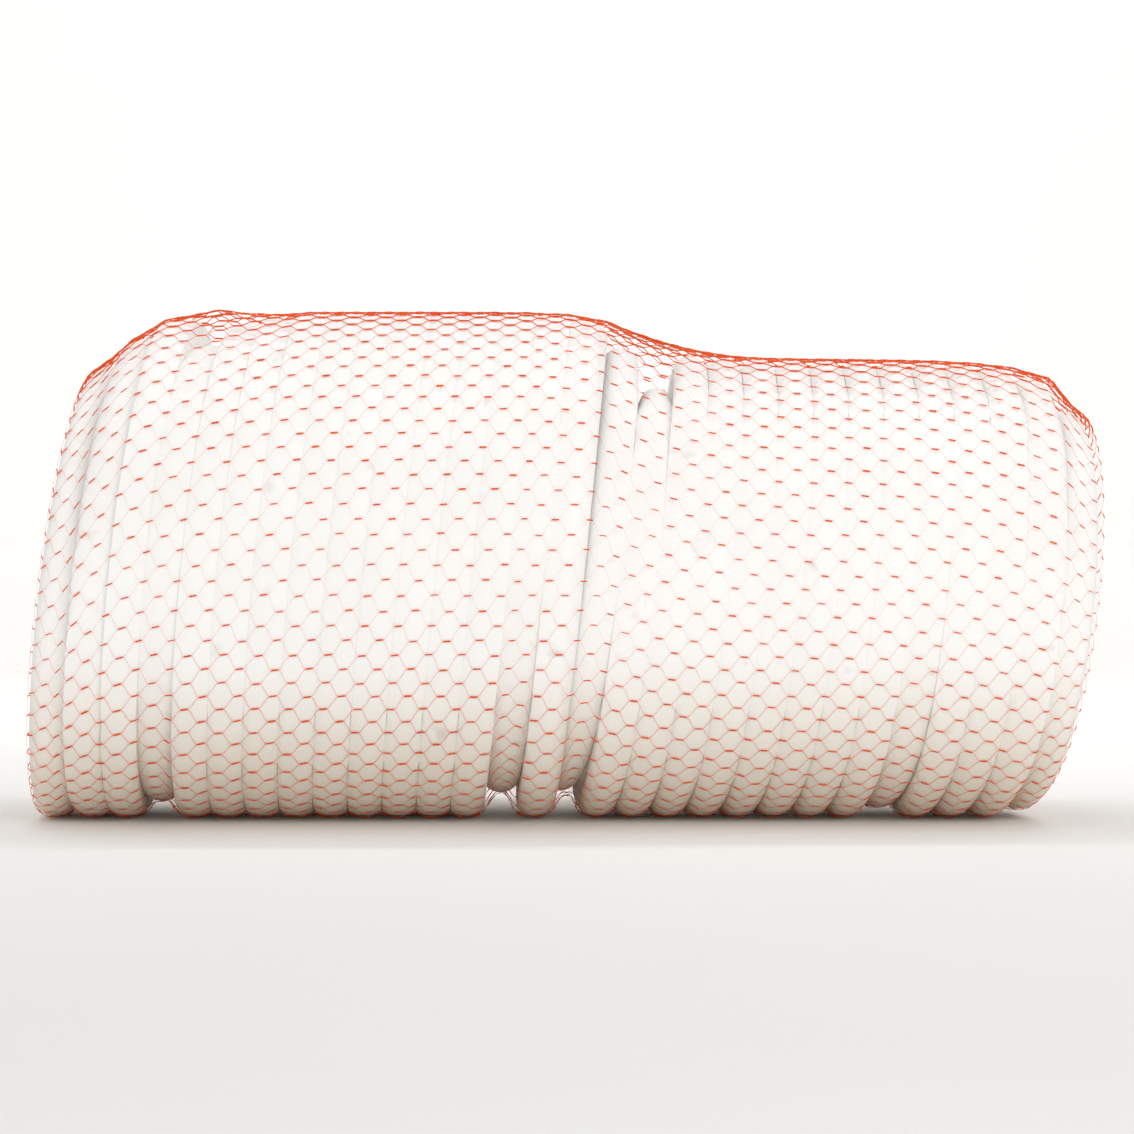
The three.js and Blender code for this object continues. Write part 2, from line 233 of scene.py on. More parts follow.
JOINT_WIDTH = 2 * MM
JOINT_WIDTH_SHARES = np.array([0.45, 0.9, 1, 0.75, 1, 0.9, 0.45])
JOINT_THICKNESS = 0.6 * MM
JOINT_TOP_THICKNESS = 1.2 * MM
JOINT_NARROWING_SHARE = 0.45
JOINT_SIZE_SHARES = (0.65, 1.05)
JOINT_LEAST_SHARE = 0.35
JOINT_SIDES = 6
JOINT_TILT = 0.35 * MM
JOINT_TILT_X = 185 * MM
EDGE_TILT_SHARE = 1
EDGE_TILT_SPREAD = 35 * MM
WANDER_SHARE = 0.03
WANDER_SEED = 7
NET_PARTS = ("left_end", "left", "middle", "right", "right_end")

# The cable ties, with the main sizes of the part's source, and their ribs
TIE_WIDTH = 4.8 * MM
TIE_THICKNESS = 1.4 * MM
TIE_HEAD_LENGTH = 8 * MM
TIE_HEAD_HEIGHT = 6 * MM
TIE_HEAD_PLACE_SHARES = np.array([-1, -0.92, -0.3, 0.3, 0.92, 1])
TIE_HEAD_SIZE_SHARES = np.array([0.8, 1, 1, 1, 1, 0.8])
TIE_TAIL_LENGTH = 24 * MM
TIE_TAIL_STEPS = 48
TIE_TAIL_RIBS = 24
TIE_TAIL_RIB_SHARE = 0.12
TIE_TAPER_SHARE = 0.125
TIE_TIP_SHARE = 0.35
TIE_CLEARANCE = 0.3 * MM
TIE_BAND_STEPS = 96
TIE_BAND_RIBS = 48
TIE_BAND_RIB_SHARE = 0.08
STRIP_CORNER_SHARES = np.array([[1, -0.55], [1, 0.55], [0.86, 1], [-0.86, 1],
                                [-1, 0.55], [-1, -0.55], [-0.86, -1], [0.86, -1]])

# The materials

# Noise is read between the two values of its range. A grain's scales are per metre, the fine one
# first. The share of a bump is its strength, and that of a scuff is how far its colour covers.
NOISE_RANGE = (0.3, 0.7)
GRAIN_DETAIL = {"Fine": 2, "Broad": 3}
FOAM_SCALES = (700, 16)
FOAM_SHADE = (0.92, 0.92, 0.9)
FOAM_WHITE = (0.955, 0.957, 0.945)
# Painted shade: a darker warm colour given to the foam near the floor, and the height up to which it
# fades in.
FOAM_PAINTED_SHADE = (0.78, 0.71, 0.58)
FOAM_PAINTED_SHADE_TOP = 100 * MM
FOAM_SCUFF = (0.42, 0.34, 0.26)
FOAM_SCUFF_SHARE = 0.35
FOAM_SCUFF_RANGE = (0.68, 0.8)
FOAM_SCUFF_SCALE = 45
FOAM_SCUFF_DETAIL = 4
FOAM_ROUGHNESS_RANGE = (0.5, 0.68)
FOAM_DENT_DEPTH = 1.2 * MM
FOAM_DENT_SHARE = 0.15
FOAM_CELL_DEPTH = 0.25 * MM
FOAM_CELL_SHARE = 0.25
FOAM_SOCKETS = {
    "Subsurface Weight": 0.12,
    "Subsurface Radius": (1.0, 0.85, 0.7),
    "Subsurface Scale": 2 * MM,
    "Specular IOR Level": 0.3,
}
NET_SCALES = (1500, 60)
NET_RED = (0.76, 0.07, 0.006)
NET_ORANGE = (0.9, 0.12, 0.01)
NET_ROUGHNESS_RANGE = (0.3, 0.45)
NET_GRAIN_DEPTH = 0.1 * MM
NET_GRAIN_SHARE = 0.15
NET_SOCKETS = {
    "Subsurface Weight": 0.15,
    "Subsurface Radius": (1.0, 0.25, 0.1),
    "Subsurface Scale": 0.6 * MM,
    "Specular IOR Level": 0.2,
}
TIE_SCALES = (500, 90)
TIE_SHADE = (0.78, 0.77, 0.71)
TIE_WHITE = (0.88, 0.875, 0.83)
TIE_ROUGHNESS_RANGE = (0.32, 0.45)
TIE_GRAIN_DEPTH = 0.1 * MM
TIE_GRAIN_SHARE = 0.2
TIE_SOCKETS = {"Subsurface Weight": 0.3, "Subsurface Scale": 1 * MM}
FLOOR_SCALES = (60, 2)
FLOOR_SHADE = (0.9, 0.895, 0.885)
FLOOR_WHITE = (0.92, 0.915, 0.905)
FLOOR_SOCKETS = {"Roughness": 0.9}

# The stage and the lights, in metres and watts
STAGE_FRONT_Y = -4.0
STAGE_BACK_Y = 2.2
STAGE_BEND = 1.2
STAGE_BEND_STEPS = 24
STAGE_TOP_Z = 5.0
STAGE_HALF_WIDTH = 6.0
WHITE = (1, 0.99, 0.975)
WARM = (1, 0.96, 0.9)
LIGHTS = (
    dict(name="key", place=(1.2, -2.7, 1.4), target=(0, 0, 0.15), size=(1.6, 1.0), power=21.6,
         colour=WHITE),
    dict(name="fill", place=(0, -2.6, 0.27), target=(0, 0, 0.1), size=(2.6, 0.5), power=7.8,
         colour=WARM),
    dict(name="top", place=(0.1, 0.2, 2.2), target=(0, 0, 0.1), size=(2.2, 1.4), power=3.5,
         colour=WHITE),
    dict(name="backdrop", place=(0, 0.5, 2.4), target=(0, 3.3, 0.8), size=(3.5, 0.8), power=44,
         colour=WHITE),
)
SKY_COLOUR = (1, 0.995, 0.985, 1)
SKY_STRENGTH = 0.66


# Small helpers


def smooth_step(values, low, high):
    """0 below low and 1 above high, with a smooth rise between them: three times the square of the
    share less twice its cube."""
    t = np.clip((values - low) / (high - low), 0, 1)
    return t * t * (3 - 2 * t)


def fade(distance, spread):
    """A bell of height 1: e to the minus square of distance over spread."""
    return np.exp(-((distance / spread) ** 2))


def soft_least(first, second, blend):
    """The lesser of two lengths with a soft corner: half of their sum less the root of the square of
    their difference plus the square of the blend."""
    return (first + second - np.sqrt((first - second) ** 2 + blend**2)) / 2


def stand_on(points, level, blend):
    """Lifts points from under a level onto it, with a soft corner: half of the height over the level
    plus the root of its square plus the square of the blend."""
    lift = points[..., 2] - level
    points[..., 2] = level + (lift + np.sqrt(lift**2 + blend**2)) / 2


def unit(vectors):
    """The same directions with a length of 1."""
    return vectors / np.linalg.norm(vectors, axis=-1, keepdims=True)


def signed(angle):
    """The same angle, counted between minus and plus half a turn."""
    return (angle + math.pi) % FULL_TURN - math.pi


def ring_faces(index):
    """Faces of four between each ring of points and the next one, with the rings' point numbers on
    the last axis and the rings on the one before it."""
    a, b = index[..., :-1, :], index[..., 1:, :]
    return np.stack([a, np.roll(a, -1, -1), np.roll(b, -1, -1), b], axis=-1).reshape(-1, 4)


def joined(groups):
    """The points and the faces of several closed shapes, put together in one list each."""
    points, faces, offset = [], [], 0
    for own, quads, caps in groups:
        points.append(own)
        faces += [quads + offset, caps + offset]
        offset += len(own)
    return np.concatenate(points), faces


def new_piece(name, points, faces, material):
    """A mesh object at the origin, from one array of points and one array of faces for each number
    of corners that a face has."""
    mesh = bpy.data.meshes.new(name)
    mesh.vertices.add(len(points))
    mesh.vertices.foreach_set("co", np.asarray(points, np.float32).ravel())
    sizes = np.concatenate([np.full(len(group), group.shape[1]) for group in faces])
    corners = np.concatenate([group.ravel() for group in faces])
    mesh.loops.add(len(corners))
    mesh.loops.foreach_set("vertex_index", corners.astype(np.int32))
    mesh.polygons.add(len(sizes))
    starts = np.concatenate([[0], np.cumsum(sizes)[:-1]])
    mesh.polygons.foreach_set("loop_start", starts.astype(np.int32))
    mesh.polygons.foreach_set("use_smooth", np.ones(len(sizes), bool))
    mesh.update(calc_edges=True)
    mesh.validate()
    mesh.materials.append(material)
    piece = bpy.data.objects.new(name, mesh)
    bpy.context.collection.objects.link(piece)
    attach(piece, "root")
    return piece


# The coils of foam cord


def turn_radius(coil, turn):
    """The coil's radius less a drop that fades from its near end and one from its far end."""
    near = coil["near_drop"] * np.exp(-turn / coil["near_drop_turns"])
    far = coil["far_drop"] * np.exp((turn - coil["turns"] + 1) / coil["far_drop_turns"])
    return coil["radius"] - near - far


def drawn_in(coil, turn):
    """How far the tight places draw the cord in: a bell round each of them."""
    return sum(
        place["depth"] * fade(turn - place["at_turns"], place["over_turns"])
        for place in coil["tight_places"]
    )


def cord_line(coil, turn):
    """Points on the cord's middle line: a circle round the axis, drawn in at the tight places, and
    moved along X by the pitch from the first turn's bottom on, by half the lean times one less the
    cosine, by the bow times the sine, and back by what is left of the outer gap."""
    turn = np.asarray(turn, float)
    angle = turn * FULL_TURN
    wide = turn_radius(coil, turn)
    radius = wide - drawn_in(coil, turn)
    lean = coil["lean"] - coil["lean_loss"] * turn / coil["turns"]
    end_bow = coil["end_bow"] * fade(turn - coil["turns"] + END_BOW_BEFORE_TURNS, END_BOW_TURNS)
    bow = coil["bow"] - coil["bow_loss"] * turn / coil["turns"] + end_bow
    shift = coil["outer_gap"] * (1 - smooth_step(turn, *OUTER_GAP_TURNS))
    x = coil["first_x"] + coil["pitch"] * np.maximum(turn, 0) - shift
    x = x + lean * (1 - np.cos(angle)) / 2 + bow * np.sin(angle)
    y = -radius * np.sin(angle)
    z = SEAT_Z + wide - radius * np.cos(angle)
    return np.stack([x, y, z], axis=-1)


def side_reach(coil, turns, step, across, out):
    """How far the cord's section reaches towards the next turn on one side: the wide radius that a
    pressed cord would have, and the room up to the next turn, into which it presses a little. The
    radius shrinks where the next turn stands higher or lower, under the coil, and over the top of a
    coil with loose tops. On the coil's outer side the cord keeps its own radius and has more room
    than it takes, and where the two coils meet it spreads towards the other one."""
    to_next = cord_line(coil, turns + step) - cord_line(coil, turns)
    room = (np.abs(np.sum(to_next * across, axis=1)) + FOAM_PRESS_DEPTH) / 2
    level = fade(np.sum(to_next * out, axis=1), LEVEL_SPREAD)
    ahead = smooth_step(coil["end_turns"] - turns - step, 0, PRESS_FADE_TURNS)
    behind = smooth_step(turns + step - coil["start_turns"], 0, PRESS_FADE_TURNS)
    flanked = ahead * behind
    height = -np.cos(turns * FULL_TURN)
    loose = coil["top_looseness"] * smooth_step(height, *LOOSE_TOP_RANGE)
    under = smooth_step(-height, *UNDERSIDE_RANGE)
    spread = FOAM_PRESSED_RADIUS + (FOAM_LOOSE_RADIUS - FOAM_PRESSED_RADIUS) * loose
    spread = spread + (coil["underside_radius"] - FOAM_PRESSED_RADIUS) * under
    meeting = (1 - flanked) * (step == coil["meeting_side"])
    radius = CORD_RADIUS + (spread - CORD_RADIUS) * flanked * level
    radius = radius + (FOAM_MEETING_RADIUS - CORD_RADIUS) * meeting
    return radius, room + FOAM_PRESSED_RADIUS * (1 - flanked)


def foam_turns(coil):
    """The places of the foam's rings in turns: even steps, and closer ones at both cut ends."""
    count = round((coil["end_turns"] - coil["start_turns"]) * FOAM_STEPS_PER_TURN)
    turns = np.linspace(coil["start_turns"], coil["end_turns"], count + 1)
    first, last = turns[:1] + END_RING_TURNS, turns[-1:] - END_RING_TURNS[::-1]
    return np.concatenate([first, turns[1:-1], last])


def foam_rings(coil, turns, path):
    """The rings of points round the cord's line. A ring goes out from the line by the cosine of its
    angle, and across it by the sine, as a circle would. Across, it is a wider ellipse that is cut
    flat, with a soft corner, where the next turn presses on it. The cut ends are bevelled, and the
    foot stands flat on the floor."""
    along = unit(np.gradient(path, axis=0))
    angle = turns * FULL_TURN
    out = np.stack([0 * angle, -np.sin(angle), -np.cos(angle)], axis=-1)
    out = unit(out - along * np.sum(out * along, axis=1, keepdims=True))
    across = np.cross(along, out)
    section = np.arange(FOAM_SIDES) * FULL_TURN / FOAM_SIDES
    high = np.repeat(CORD_RADIUS * np.cos(section)[None], len(path), 0)
    side = np.sin(section)[None]
    wide = 0
    for step in (1, -1):
        radius, room = side_reach(coil, turns, step, across, out)
        free = np.maximum(side * step, 0) * radius[:, None]
        wide = wide + step * np.maximum(soft_least(free, room[:, None], FOAM_PRESS_BLEND), 0)
    slim = np.ones((len(path), 1))
    for ring, share in enumerate(FOAM_BEVEL_SHARES):
        slim[[ring, -1 - ring]] = 1 - FOAM_END_BEVEL * share / CORD_RADIUS
    points = path[:, None] + out[:, None] * (high * slim)[..., None]
    points = points + across[:, None] * (wide * slim)[..., None]
    stand_on(points, FOAM_FLOOR, FOAM_FLAT_BLEND)
    return points


def make_coil(name, node, coil, material):
    """A closed foam tube along the coil's line, with a fan of faces over each cut end."""
    turns = foam_turns(coil)
    path = cord_line(coil, turns)
    points = foam_rings(coil, turns, path)
    index = np.arange(points.shape[0] * FOAM_SIDES).reshape(-1, FOAM_SIDES)
    middles = points[[0, -1]].mean(axis=1)
    start, end = index[0], index[-1]
    first = np.stack([np.full(FOAM_SIDES, index.size), np.roll(start, -1), start], axis=-1)
    last = np.stack([np.full(FOAM_SIDES, index.size + 1), end, np.roll(end, -1)], axis=-1)
    points = np.concatenate([points.reshape(-1, 3), middles])
    piece = new_piece(name, points, [ring_faces(index), first, last], material)
    piece.data.set_sharp_from_angle(angle=CREASE_ANGLE)
    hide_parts(node)


# The surface on which the net lies


def core_radius(bottom_x):
    """The radius of the cord's line under the net: on the left that of the turns' tops, without the
    drop of the last turns, and past the step that of the right coil, and over it the step's height,
    which fades as e to the minus distance over the step's fade."""
    left_turn = (bottom_x - LEFT_COIL["first_x"]) / LEFT_COIL["pitch"]
    right_turn = (bottom_x - RIGHT_COIL["first_x"]) / RIGHT_COIL["pitch"]
    last_top = LEFT_COIL["turns"] - CORE_LEFT_OUT_TURNS
    left = turn_radius(LEFT_COIL, np.clip(left_turn + TOP_TURNS, TOP_TURNS, last_top))
    height = LEFT_COIL["radius"] - turn_radius(RIGHT_COIL, 0)
    fall = height * np.exp(np.minimum(0, (STEP_X - bottom_x) / STEP_FADE))
    right = turn_radius(RIGHT_COIL, np.maximum(right_turn, 0)) + fall
    return np.where(bottom_x <= STEP_X, left, right)


def ring_point(bottom_x, radius, theta):
    """A point on a leaning ring of the net: out from the axis by the radius, and along X by half the
    lean times one less the cosine and by the bow times the sine, both in proportion to the radius.
    Past a rim the lean, the bow and the core stay those of the rim, so that both faces are flat."""
    inside = np.clip(bottom_x, LEFT_RIM_X, RIGHT_RIM_X)
    share = (inside - LEFT_RIM_X) / (RIGHT_RIM_X - LEFT_RIM_X)
    lean = LEFT_FACE_LEAN + (RIGHT_FACE_LEAN - LEFT_FACE_LEAN) * share
    bow = LEFT_FACE_BOW + (RIGHT_FACE_BOW - LEFT_FACE_BOW) * share
    core = core_radius(inside)
    width_share = radius / (core + NET_REACH)
    x = bottom_x + lean * (1 - width_share * np.cos(theta)) / 2
    x = x + bow * width_share * np.sin(theta)
    return np.stack([x, -radius * np.sin(theta), SEAT_Z + core - radius * np.cos(theta)], axis=-1)


def ring_place(point, theta):
    """The place along X and the radius at which the net's rings meet a point of the cord, and the
    angle by which the point is off the wanted angle of the ring."""
    place = point[:, 0]
    for _ in range(PLACE_ROUNDS):
        down = SEAT_Z + core_radius(place) - point[:, 2]
        radius = np.hypot(point[:, 1], down)
        place = place + point[:, 0] - ring_point(place, radius, theta)[:, 0]
    return place, radius, signed(theta - np.arctan2(-point[:, 1], down))


def rim_radius(coil, rim_x, whole, theta):
    """The radius of a flat ring of cord at a rim, for each angle of the net's rings. It is an end
    turn that is mirrored from its bottom up, so that it closes on itself."""
    angle = theta
    for _ in range(ANGLE_ROUNDS):
        turn = whole + np.minimum(angle % FULL_TURN, -angle % FULL_TURN) / FULL_TURN
        wide = turn_radius(coil, turn)
        drawn = wide - drawn_in(coil, turn)
        sideways = drawn * np.sin(angle)
        down = core_radius(rim_x) - wide + drawn * np.cos(angle)
        angle = angle + signed(theta - np.arctan2(sideways, down))
    return np.hypot(sideways, down)


def turn_sections(theta):
    """For each angle of the net's rings, the place along X and the radius of every turn's section,
    and of one flat ring at each rim. The radius is zero where the cord doesn't reach."""
    places = []
    radii = []
    for coil in (LEFT_COIL, RIGHT_COIL):
        for whole in range(-1, coil["turns"]):
            turn = whole + theta / FULL_TURN
            for _ in range(ANGLE_ROUNDS):
                place, radius, off = ring_place(cord_line(coil, turn), theta)
                turn = turn + off / FULL_TURN
            there = (turn >= coil["start_turns"]) & (turn <= coil["end_turns"])
            places.append(place)
            radii.append(np.where(there, radius, 0))
    for coil, rim_x, whole in ((LEFT_COIL, LEFT_RIM_X, 0),
                               (RIGHT_COIL, RIGHT_RIM_X, RIGHT_COIL["turns"] - 1)):
        places.append(np.full(len(theta), rim_x))
        radii.append(rim_radius(coil, rim_x, whole, theta))
    return np.array(places), np.array(radii)


def taut_line(x, height, bend):
    """The lowest line that stays over the heights and nowhere curves up by more than the bend
    allows: the upper hull of height less bend times x squared, plus bend times x squared."""
    level = height - bend * x**2
    kept = []
    for i in range(len(x)):
        while len(kept) > 1:
            a, b = kept[-2], kept[-1]
            if (level[b] - level[a]) * (x[i] - x[a]) > (level[i] - level[a]) * (x[b] - x[a]):
                break
            kept.pop()
        kept.append(i)
    return np.interp(x, x[kept], level[kept]) + bend * x**2


def support_heights(bottom_x, theta):
    """For each angle and each place along X, how high the outsides of the turns hold the net over
    the core's own height: the greatest of all the turns' radii plus their sections. A section is a
    circle of the cord's radius and the clearance, or the pressed ellipse where that is wider, and
    under the coils it holds the net a little past its side."""
    places, radii = turn_sections(theta)
    underside = np.where(places.mean(axis=1) < STEP_X, LEFT_COIL["underside_radius"],
                         RIGHT_COIL["underside_radius"])[:, None]
    offset = bottom_x[None, None, :] - places[:, :, None]
    section = np.sqrt(np.maximum(NET_REACH**2 - offset**2, 0))
    inner = (bottom_x > LEFT_RIM_X) & (bottom_x < RIGHT_RIM_X)
    under = smooth_step(np.cos(theta), *UNDERSIDE_RANGE)
    spread = FOAM_PRESSED_RADIUS + (underside - FOAM_PRESSED_RADIUS) * under
    pressed = CORD_RADIUS * np.sqrt(1 - np.minimum(np.abs(offset) / spread[:, :, None], 1) ** 2)
    section = np.where(inner, np.maximum(section, pressed + NET_CLEARANCE), section)
    reach = NET_REACH + ROUNDING + UNDERSIDE_REACH * under
    reached = (np.abs(offset) <= reach[:, None]) & (radii[:, :, None] > 0)
    heights = radii - core_radius(places) * np.cos(theta)
    return np.where(reached, heights[:, :, None] + section, FAR_BELOW).max(axis=0)


def sleeve_profile(theta):
    """The net's radius over the coils, for each angle, on one row of places along X, which lie
    closer round both shoulders. A taut line is drawn over the heights that hold the net up, with
    little sag on the sides and more under the coils, and over one raised point as a tent. The line
    is drawn over the core's own height, because the rings' middles aren't equally high."""
    low, high = LEFT_RIM_X - NET_REACH, RIGHT_RIM_X + NET_REACH
    curve = NET_REACH * (1 - np.cos(np.linspace(0, math.pi / 2, SHOULDER_STEPS)))
    middle = np.linspace(low + NET_REACH, high - NET_REACH, SLEEVE_STEPS)
    bottom_x = np.concatenate([low + curve[:-1], middle, high - curve[-2::-1]])
    outside = support_heights(bottom_x, theta)
    lift = core_radius(bottom_x) * np.cos(theta)[:, None]
    tent = np.abs(bottom_x - TENT_X).argmin()
    rise = TENT_RISE * fade(theta - math.pi, TENT_ANGLE)
    slack = smooth_step(np.cos(theta), *SLACK_RANGE)
    sag = TAUT_SAG_PER_M + (SLACK_SAG_PER_M - TAUT_SAG_PER_M) * slack
    sleeve = []
    for row, bend in enumerate(sag):
        under_tent = taut_line(bottom_x, outside[row], bend)[tent]
        outside[row, tent] = np.maximum(outside[row, tent], under_tent + rise[row])
        sleeve.append(taut_line(bottom_x, outside[row], bend))
    return bottom_x, np.array(sleeve) + lift


def end_lines(theta, side, rim_x, rim_radii, low_x):
    """The places along X and the radii of the net inside one end, for each angle: the tail, the neck
    under the tie and the bunch, all creased by a sine wave round them, and then nearly straight over
    the face to the rim, with pleats of the same wave that fade with the distance from the bunch."""
    tied = NECK_START + NECK_LENGTH
    inward = np.array([tied + TAIL_LENGTH, tied + NECK_FLARE_LENGTH, tied, NECK_START, 0])
    radii = np.array([TAIL_RADIUS, (TAIL_RADIUS + NECK_RADIUS) / 2, NECK_RADIUS, NECK_RADIUS,
                      BUNCH_RADIUS])
    steps = np.linspace(0, 1, TAIL_STEPS)
    knots = np.linspace(0, 1, len(inward))
    edge_x = rim_x + side * (END_RECESS - OVER_COIL)
    rows = len(theta)
    tail_x = np.repeat((edge_x + side * np.interp(steps, knots, inward))[None], rows, 0)
    crease = TAIL_PLEAT_SHARE * (1 + np.sin(theta * PLEATS + TAIL_PLEAT_SHIFT)[:, None]) / 2
    tail_r = np.interp(steps, knots, radii)[None] * (1 - crease)
    share = np.linspace(0, 1, FACE_STEPS)[None, 1:-1]
    face_r = BUNCH_RADIUS + (rim_radii[:, None] - BUNCH_RADIUS) * share
    pleat = np.sin(theta * PLEATS)[:, None] * fade(face_r - BUNCH_RADIUS, PLEAT_REACH)
    face_x = edge_x + (low_x - edge_x) * share**FACE_DISH_POWER + side * PLEAT_DEPTH * pleat
    return np.concatenate([tail_x, face_x], 1), np.concatenate([tail_r, face_r], 1)


def net_grid():
    """The net's surface as a grid of points: for each angle, one line from the tail in the left end,
    over the coils, to the tail in the right end. With it comes the mean distance along the lines."""
    theta = np.linspace(0, FULL_TURN, CELLS_ROUND * ROWS_PER_CELL, endpoint=False)
    bottom_x, sleeve = sleeve_profile(theta)
    left_x, left_r = end_lines(theta, 1, LEFT_RIM_X, sleeve[:, 0], bottom_x[0])
    right_x, right_r = end_lines(theta, -1, RIGHT_RIM_X, sleeve[:, -1], bottom_x[-1])
    sleeve_x = np.repeat(bottom_x[None], len(theta), 0)
    x = np.concatenate([left_x, sleeve_x, right_x[:, ::-1]], 1)
    radius = np.concatenate([left_r, sleeve, right_r[:, ::-1]], 1)
    points = ring_point(x, radius, theta[:, None])
    stand_on(points, NET_FLOOR, NET_FLAT_BLEND)
    lengths = np.linalg.norm(np.diff(points, axis=1), axis=2).mean(axis=0)
    return points, np.concatenate([[0], np.cumsum(lengths)])


class NetSurface:
    """Finds points and outward directions on the net's grid from an angle and a distance along it."""

    def __init__(self):
        self.points, self.distance = net_grid()
        around = np.roll(self.points, -1, 0) - np.roll(self.points, 1, 0)
        along = np.gradient(self.points, axis=1)
        self.normals = unit(np.cross(along, around))

    def find(self, distance, theta):
        """Blends the four grid points round each place, and their normals."""
        rows, columns = self.points.shape[:2]
        column = np.interp(distance, self.distance, np.arange(columns))
        row = (theta / FULL_TURN * rows) % rows
        c0 = np.minimum(column.astype(int), columns - 2)
        r0 = row.astype(int) % rows
        r1 = (r0 + 1) % rows
        c = (column - c0)[..., None]
        r = (row - np.floor(row))[..., None]

        def blend(grid):
            """A mean of four grid values, each with the share of the place's nearness to it."""
            low = grid[r0, c0] * (1 - c) + grid[r0, c0 + 1] * c
            high = grid[r1, c0] * (1 - c) + grid[r1, c0 + 1] * c
            return low * (1 - r) + high * r

        return blend(self.points), unit(blend(self.normals))


# The net's strands and joints


def tubes(middle, normal, half_wide, half_high, sides):
    """Closed tubes of equal size. Each follows its row of middle points, with an ellipse of the
    given half sizes across it, the high side along the normal."""
    count, rings = middle.shape[:2]
    along = unit(np.gradient(middle, axis=1))
    across = unit(np.cross(normal, along))
    upward = np.cross(along, across)
    angle = (np.arange(sides) + 0.5) * FULL_TURN / sides
    sideways = across[:, :, None] * (half_wide[..., None] * np.cos(angle))[..., None]
    points = middle[:, :, None] + sideways
    points = points + upward[:, :, None] * (half_high[..., None] * np.sin(angle))[..., None]
    index = np.arange(count * rings * sides).reshape(count, rings, sides)
    caps = np.concatenate([index[:, 0, ::-1], index[:, -1]])
    return points.reshape(-1, 3), ring_faces(index), caps


def column_places(surface):
    """The distances of the columns of joints along the net: even steps of an uneven ruler, whose
    marks lie closer where the net is drawn together."""
    fine = np.linspace(0, surface.distance[-1], RULER_STEPS)
    x = np.interp(fine, surface.distance, surface.points[:, :, 0].mean(axis=0))
    spacing = COLUMN_SPACING - COLUMN_LOSS * fade(x - COLUMN_LOSS_X, COLUMN_LOSS_SPREAD)
    marks = np.concatenate([[0], np.cumsum(np.diff(fine) / spacing[1:])])
    return np.interp(np.arange(int(marks[-1])) + 0.5, marks, fine)


class NetLayout:
    """The places and sizes of the joints, and the sizes of the strands that leave them, as arrays of
    columns along the net by cells round it. Every other column is turned by half a cell, and all the
    joints wander a little. They tilt with the distance from the middle, twice as much near the left
    rim. Widths follow the size of the cells, strands narrow from the underside up and joints with
    the square of the sine, and over the crown both stand taller."""

    def __init__(self, surface):
        rng = np.random.default_rng(WANDER_SEED)
        columns = column_places(surface)
        cell = FULL_TURN / CELLS_ROUND
        self.count = len(columns)
        self.number = np.arange(self.count)[:, None]
        angle = cell * (np.arange(CELLS_ROUND)[None] + (self.number % 2) / 2)
        angle = angle + cell * rng.uniform(-WANDER_SHARE, WANDER_SHARE, angle.shape)
        wander = rng.uniform(-WANDER_SHARE, WANDER_SHARE, angle.shape)
        self.angle = angle
        self.place = columns[:, None] + COLUMN_SPACING * wander
        middle, _ = surface.find(self.place, angle)
        beside, _ = surface.find(self.place, angle + cell / 2)
        half_cell = np.linalg.norm(beside - middle, axis=-1)
        slim = np.clip(half_cell / FULL_HALF_CELL, JOINT_LEAST_SHARE, 1)
        raised = smooth_step(1 - np.cos(angle), *STRAND_NARROWING_RANGE)
        strand_size = slim * (1 - STRAND_NARROWING_SHARE * raised)
        joint_size = slim * (1 - JOINT_NARROWING_SHARE * np.sin(angle) ** 2)
        joint_size = joint_size * rng.uniform(*JOINT_SIZE_SHARES, angle.shape)
        crown = smooth_step(-np.cos(angle), *CROWN_RANGE)
        strand_rise = STRAND_TOP_HALF_HEIGHT - STRAND_HALF_HEIGHT
        joint_rise = JOINT_TOP_THICKNESS - JOINT_THICKNESS
        self.strand_wide = strand_size * STRAND_HALF_WIDTH
        self.strand_high = STRAND_HALF_HEIGHT + strand_rise * crown
        self.joint_wide = joint_size * JOINT_WIDTH / 2
        self.joint_high = (JOINT_THICKNESS + joint_rise * crown) / 2
        rim = surface.distance[TAIL_STEPS + FACE_STEPS - 2]
        tilt = -JOINT_TILT * middle[..., 0] / JOINT_TILT_X
        tilt = tilt * (1 + EDGE_TILT_SHARE * fade(self.place - rim, EDGE_TILT_SPREAD))
        self.turn = tilt * slim * (cell / 2) / half_cell


def joint_bars(surface, layout, first, last):
    """The joints of some columns: short flat bars along the net, shaped like a bow tie."""
    rows = slice(first, last)
    steps = np.linspace(-1, 1, len(JOINT_WIDTH_SHARES))
    path = layout.place[rows].reshape(-1, 1) + JOINT_LENGTH / 2 * steps
    way = layout.angle[rows].reshape(-1, 1) + layout.turn[rows].reshape(-1, 1) * steps
    points, normal = surface.find(path, way)
    wide = layout.joint_wide[rows].reshape(-1, 1) * JOINT_WIDTH_SHARES
    high = layout.joint_high[rows].reshape(-1, 1) * np.ones_like(wide)
    return tubes(points, normal, wide, high, JOINT_SIDES)


